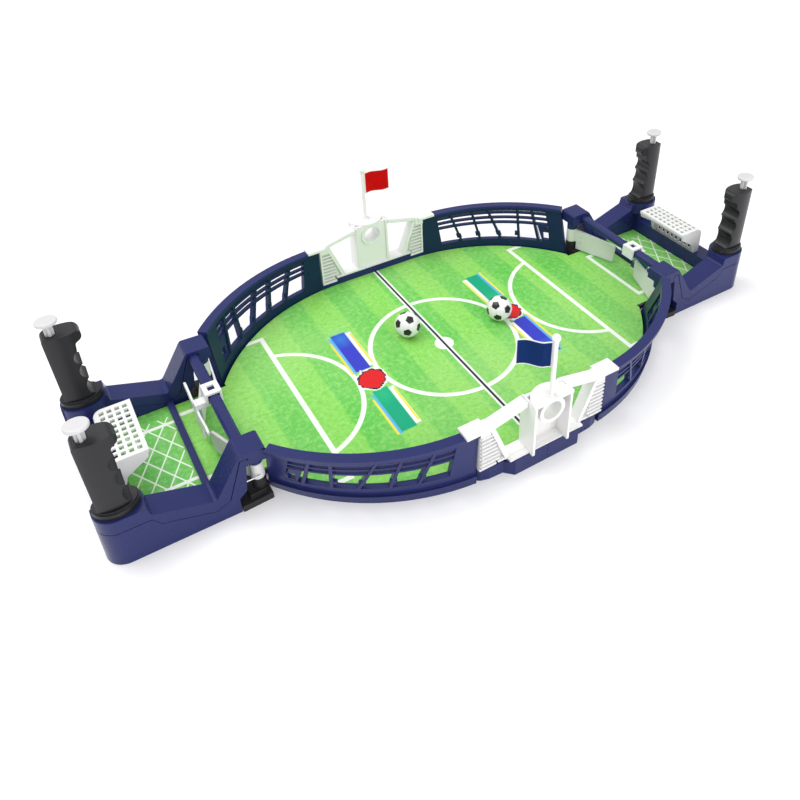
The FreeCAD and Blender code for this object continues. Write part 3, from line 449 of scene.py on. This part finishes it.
# ---------------------------------------------------------------- material of every CAD node
# A node takes the look of the longest key that its name starts with.
LOOKS = {
    "pitch_board": pitch_look(),
    "goal_floor": goal_floor_look(),
    "field_base": base_navy,
    "housing": navy,
    "crossbar": navy,
    "goal_sill": navy,
    "fence": fence_navy,
    "stand": white,
    "goal_left": white,
    "goal_right": white,
    "flag_pole": white,
    "flipper": paddle,
    "button_spring": steel,
    "button": button_white,
    "grip": grip_look,
    "collar": grip_look,
    "corner_block": black,
    "pivot_pins": steel,
    "shell_screws": steel,
    "pull_wires": steel,
    "flag_far": flag_look("flag_print_red", "far", (0.58, 0.001, 0.003)),
    "flag_near": flag_look("flag_print_blue", "near", (0.001, 0.022, 0.115)),
}
for end, side in ENDS.items():
    LOOKS["keeper_" + end] = keeper_look(end, side)


def dress(node, look):
    """One material on a CAD node."""
    node.data.materials.clear()
    node.data.materials.append(look.material)
    for slot in node.material_slots:
        slot.material = look.material


for name, node in nodes.items():
    matches = [key for key in LOOKS if name.startswith(key)]
    if matches:
        dress(node, LOOKS[max(matches, key=len)])


# ---------------------------------------------------------------- balls
SEAM_WIDTH = 0.022              # on a ball of radius 1
SEAM_DEPTH = 0.03               # on a ball of radius 1
PANEL_CUTS = 5
BALL_TURNS = {"ball_1": (0.5, -0.25, 0.3), "ball_2": (0.35, 0.2, 1.0)}


def panel_hull():
    """Flat-faced football, still to be rounded: 12 five-sided and 20 six-sided faces."""
    bm = bmesh.new()
    bmesh.ops.create_icosphere(bm, subdivisions=1, radius=1.0)
    corners = [vert.co.copy().normalized() for vert in bm.verts]
    bm.clear()
    edge = sorted((corner - corners[0]).length for corner in corners)[1]
    points = []
    for a in corners:
        for b in corners:
            if 0 < (a - b).length < edge * 1.05:
                points.append(a * (2 / 3) + b * (1 / 3))
    verts = [bm.verts.new(point) for point in points]
    bmesh.ops.convex_hull(bm, input=verts)
    bmesh.ops.dissolve_limit(bm, angle_limit=math.radians(2), verts=bm.verts, edges=bm.edges)
    return bm


def ball_mesh(name, centre, radius, turn):
    """Round football with sunken seams; five-sided panels take the second material."""
    bm = panel_hull()
    kinds = bm.faces.layers.int.new("kind")
    for face in bm.faces:
        face[kinds] = 1 if len(face.verts) == 5 else 0
    seams = bm.verts.layers.float.new("seam")
    for vert in bm.verts:
        vert[seams] = 1.0
    bmesh.ops.inset_individual(bm, faces=bm.faces[:], thickness=SEAM_WIDTH)
    panels = [face for face in bm.faces if len(face.verts) >= 5]
    inner = {vert for face in panels for vert in face.verts}
    for vert in inner:
        vert[seams] = 0.0
    bmesh.ops.poke(bm, faces=panels)
    for vert in bm.verts:
        if len(vert.link_edges) in (5, 6) and all(e.other_vert(vert) in inner for e in vert.link_edges):
            vert[seams] = 0.0
    bmesh.ops.subdivide_edges(bm, edges=bm.edges[:], cuts=PANEL_CUTS, use_grid_fill=True)
    for vert in bm.verts:
        sunk = max(0.0, min(1.0, vert[seams]))
        vert.co = vert.co.normalized() * (1.0 - SEAM_DEPTH * sunk * sunk)
        vert.co = turn @ vert.co * radius + centre
    mesh = bpy.data.meshes.new(name)
    for face in bm.faces:
        face.material_index = face[kinds]
        face.smooth = True
    bm.to_mesh(mesh)
    bm.free()
    return mesh


def build_balls():
    """The two footballs, glossy, with a fine leathery grain."""
    grain = {"grain": 1800.0, "depth": 0.00004, "edge": 0.0}
    white_panel = plastic("ball_white", (0.84, 0.84, 0.84), 0.24, vary=0.04, **grain)
    black_panel = plastic("ball_black", (0.012, 0.012, 0.013), 0.24, **grain)
    for name, angles in BALL_TURNS.items():
        low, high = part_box(name)
        centre = (Vector(low) + Vector(high)) / 2
        radius = (high[2] - low[2]) / 2 * 0.9995
        mesh = ball_mesh(name + "_panels", centre, radius, Euler(angles).to_matrix())
        mesh.materials.append(white_panel.material)
        mesh.materials.append(black_panel.material)
        piece = bpy.data.objects.new(name + "_panels", mesh)
        bpy.context.scene.collection.objects.link(piece)
        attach(piece, name)
        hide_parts(name)


build_balls()


# ---------------------------------------------------------------- button springs
def build_button_springs():
    """Return springs: each a copy of the CAD spring, fixed to the table frame in its place."""
    travels = {joint["name"]: joint["range_m"][1] for joint in frame["record"]["behaviour"]["joints"]
               if "range_m" in joint}
    for end, row in QUARTERS:
        quarter = end + "_" + row
        node = nodes["button_spring_" + quarter]
        low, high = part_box("button_spring_" + quarter)
        kept_share = 1 - travels["press_" + quarter] / (high[2] - low[2])
        piece = bpy.data.objects.new("button_spring_%s_coil" % quarter, node.data.copy())
        bpy.context.scene.collection.objects.link(piece)
        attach(piece, "table_frame")
        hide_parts("button_spring_" + quarter)
        "press_" + quarter
        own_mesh(piece)


build_button_springs()


# ---------------------------------------------------------------- floor, light and camera
FLOOR_HALF = 6.0
FLOOR_GAP = 0.0002              # the floor lies this far under the game
AIR_STRENGTH = 0.78
# Each light's place, width and power in watts.
LIGHTS = {
    "key_light": ((-0.5, 0.5, 1.5), 1.3, 14.0),
    "fill_light": ((0.2, -1.5, 0.9), 1.4, 12.0),
}
CAMERA_PLACE = (-0.2503, -0.4150, 0.4137)
CAMERA_FORWARD = (0.4341, 0.7169, -0.5456)
CAMERA_ROLL_DEG = -0.773


def build_floor():
    """Wide pale floor at the height that the game stands on."""
    bm = bmesh.new()
    bmesh.ops.create_grid(bm, x_segments=8, y_segments=8, size=FLOOR_HALF)
    mesh = bpy.data.meshes.new("studio_floor")
    bm.to_mesh(mesh)
    bm.free()
    look = Look("studio_floor", (0.88, 0.88, 0.885), 0.75, Emission_Color=(1.0, 1.0, 1.0, 1.0),
                Emission_Strength=0.12)
    look.paint(look.noise(1.5, 2.0).above(0.5, 0.4) * 0.3, (0.88, 0.88, 0.88))
    mesh.materials.append(look.material)
    item = bpy.data.objects.new("studio_floor", mesh)
    item.location = (0, 0, cad_box[0][2] - FLOOR_GAP)
    bpy.context.scene.collection.objects.link(item)


def build_lights():
    """Soft overhead disc, a low fill from the near side and a bright even surround."""
    world = bpy.data.worlds.new("studio_air")
    bpy.context.scene.world = world
    world.use_nodes = True
    background = world.node_tree.nodes["Background"]
    background.inputs["Color"].default_value = (1.0, 1.0, 1.0, 1.0)
    background.inputs["Strength"].default_value = AIR_STRENGTH
    for name, (place, size, power) in LIGHTS.items():
        data = bpy.data.lights.new(name, "AREA")
        data.shape = "DISK"
        data.size = size
        data.energy = power
        lamp = bpy.data.objects.new(name, data)
        lamp.location = place
        lamp.rotation_mode = "QUATERNION"
        lamp.rotation_quaternion = (-Vector(place)).to_track_quat("-Z", "Y")
        bpy.context.scene.collection.objects.link(lamp)


def build_camera():
    """Camera above the near left side of the game, looking down at its middle."""
    data = bpy.data.cameras.new("view_camera")
    data.lens = 34.709
    data.sensor_width = 36.0
    data.shift_x = -0.055
    data.shift_y = -0.1875
    data.clip_start = 0.01
    camera = bpy.data.objects.new("view_camera", data)
    camera.location = CAMERA_PLACE
    forward = Vector(CAMERA_FORWARD).normalized()
    level = forward.cross(Vector((0, 0, 1))).normalized()
    upright = level.cross(forward)
    roll = math.radians(CAMERA_ROLL_DEG)
    right = level * math.cos(roll) + upright * math.sin(roll)
    up = upright * math.cos(roll) - level * math.sin(roll)
    camera.rotation_mode = "QUATERNION"
    camera.rotation_quaternion = Matrix((right, up, -forward)).transposed().to_quaternion()
    bpy.context.scene.collection.objects.link(camera)
    bpy.context.scene.camera = camera


bpy.context.scene.view_settings.view_transform = "Standard"
build_floor()
build_lights()
build_camera()
bpy.context.view_layer.update()
